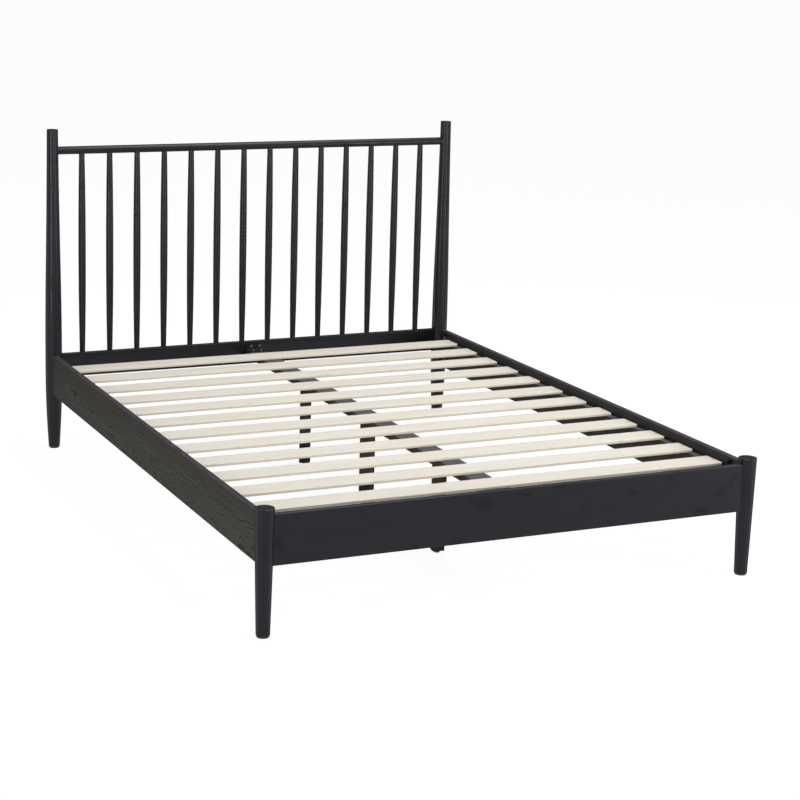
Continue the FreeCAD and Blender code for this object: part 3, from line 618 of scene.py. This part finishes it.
# Cross recessed screws. Lengths are in millimetres.
screwHead = {
    "rings": (0.08, 0.16, 0.24, 0.32, 0.40, 0.48, 0.56, 0.66, 0.76, 0.86, 0.93, 0.97, 1.0),
    "steps": 48,
    "armWidth": 0.16,       # half an arm of the cross, over the head's radius
    "armReach": 0.58,
    "crossDepth": 0.80,     # over the head's height
}


def crossRecess(x, y):
    deepest = 0.0
    for along, aside in ((abs(x), abs(y)), (abs(y), abs(x))):
        wall = min(1.0, max(0.0, (screwHead["armWidth"] - aside) / 0.07))
        slope = min(1.0, max(0.0, (screwHead["armReach"] - along) / 0.30))
        deepest = max(deepest, wall * slope)
    return deepest


def addScrew(shape, place, aim, spin, size):
    # the head stands on the given place, and the shank runs the other way
    radius, height, shank, length = size
    turn = Vector(aim).to_track_quat("Z", "Y").to_matrix().to_4x4()
    spun = turn @ Matrix.Rotation(spin, 4, "Z")
    placed = Matrix.Translation(Vector(place)) @ spun @ Matrix.Scale(millimetre, 4)
    sunk = screwHead["crossDepth"] * height
    middle = shape.verts.new(placed @ Vector((0, 0, height - sunk)))
    rings = []
    for share in screwHead["rings"]:
        rings.append([])
        domed = height * math.sqrt(max(0.0, 1 - share ** 4))
        for step in range(screwHead["steps"]):
            angle = 2 * math.pi * step / screwHead["steps"]
            x = share * math.cos(angle)
            y = share * math.sin(angle)
            z = domed - sunk * crossRecess(x, y)
            rings[-1].append(shape.verts.new(placed @ Vector((x * radius, y * radius, z))))
    for reach, depth in ((shank, 0), (shank, -0.8 * length)):
        rings.append([])
        for step in range(screwHead["steps"]):
            angle = 2 * math.pi * step / screwHead["steps"]
            spot = Vector((reach * math.cos(angle), reach * math.sin(angle), depth))
            rings[-1].append(shape.verts.new(placed @ spot))
    tip = shape.verts.new(placed @ Vector((0, 0, -length)))
    for step in range(screwHead["steps"]):
        following = (step + 1) % screwHead["steps"]
        shape.faces.new((middle, rings[0][step], rings[0][following]))
        shape.faces.new((tip, rings[-1][following], rings[-1][step]))
        for inner, outer in zip(rings, rings[1:]):
            shape.faces.new((inner[step], outer[step], outer[following], inner[following]))


def makeScrews(name, spots, size, material):
    shape = bmesh.new()
    for number, (place, aim) in enumerate(spots):
        addScrew(shape, Vector(place) * millimetre, aim, 0.4 + 1.3 * number, size)
    for face in shape.faces:
        face.smooth = True
    mesh = bpy.data.meshes.new(name)
    shape.to_mesh(mesh)
    shape.free()
    mesh.materials.append(material)
    piece = bpy.data.objects.new(name, mesh)
    bpy.context.scene.collection.objects.link(piece)
    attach(piece, "frame")
    return piece


# radius and height of the head, radius and length of the shank
bracketScrews = {
    "size": (7.5, 3.2, 2.2, 15.5),
    "spread": 16.4, "height": 329, "onBeam": 317,
    "headFace": 1041.25, "footFace": -1045.75,
    "headMiddle": 1025.75, "footMiddle": -1030.25,
}
slatScrews = {"size": (3.6, 0.45, 1.9, 28), "across": 763.5, "top": 323}
ledgerScrews = {
    "size": (3.6, 0.45, 1.9, 34),
    "across": 752.5, "height": 299.5, "first": -850, "spacing": 340, "count": 6,
}


def fixBrackets():
    onRail = []
    onBeam = []
    for x in (-bracketScrews["spread"], bracketScrews["spread"]):
        onRail.append(((x, bracketScrews["headFace"], bracketScrews["height"]), (0, -1, 0)))
        onRail.append(((x, bracketScrews["footFace"], bracketScrews["height"]), (0, 1, 0)))
        for y in (bracketScrews["headMiddle"], bracketScrews["footMiddle"]):
            onBeam.append(((x, y, bracketScrews["onBeam"]), (0, 0, 1)))
    size = bracketScrews["size"]
    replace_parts(makeScrews("bracketScrews_rail", onRail, size, blackZinc), "rail_screws")
    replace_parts(makeScrews("bracketScrews_beam", onBeam, size, blackZinc), "beam_screws")


def fixSlats():
    spots = []
    for number in range(1, 13):
        low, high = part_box(f"slat_{number:02d}")
        y = (low.y + high.y) / 2 / millimetre
        for side in (-1, 1):
            spots.append(((side * slatScrews["across"], y, slatScrews["top"]), (0, 0, 1)))
    makeScrews("slatScrews", spots, slatScrews["size"], warmZinc)
    spots = []
    for number in range(ledgerScrews["count"]):
        y = ledgerScrews["first"] + number * ledgerScrews["spacing"]
        for side in (-1, 1):
            place = (side * ledgerScrews["across"], y, ledgerScrews["height"])
            spots.append((place, (-side, 0, 0)))
    makeScrews("ledgerScrews", spots, ledgerScrews["size"], blackZinc)


fixBrackets()
fixSlats()
print("screws set")
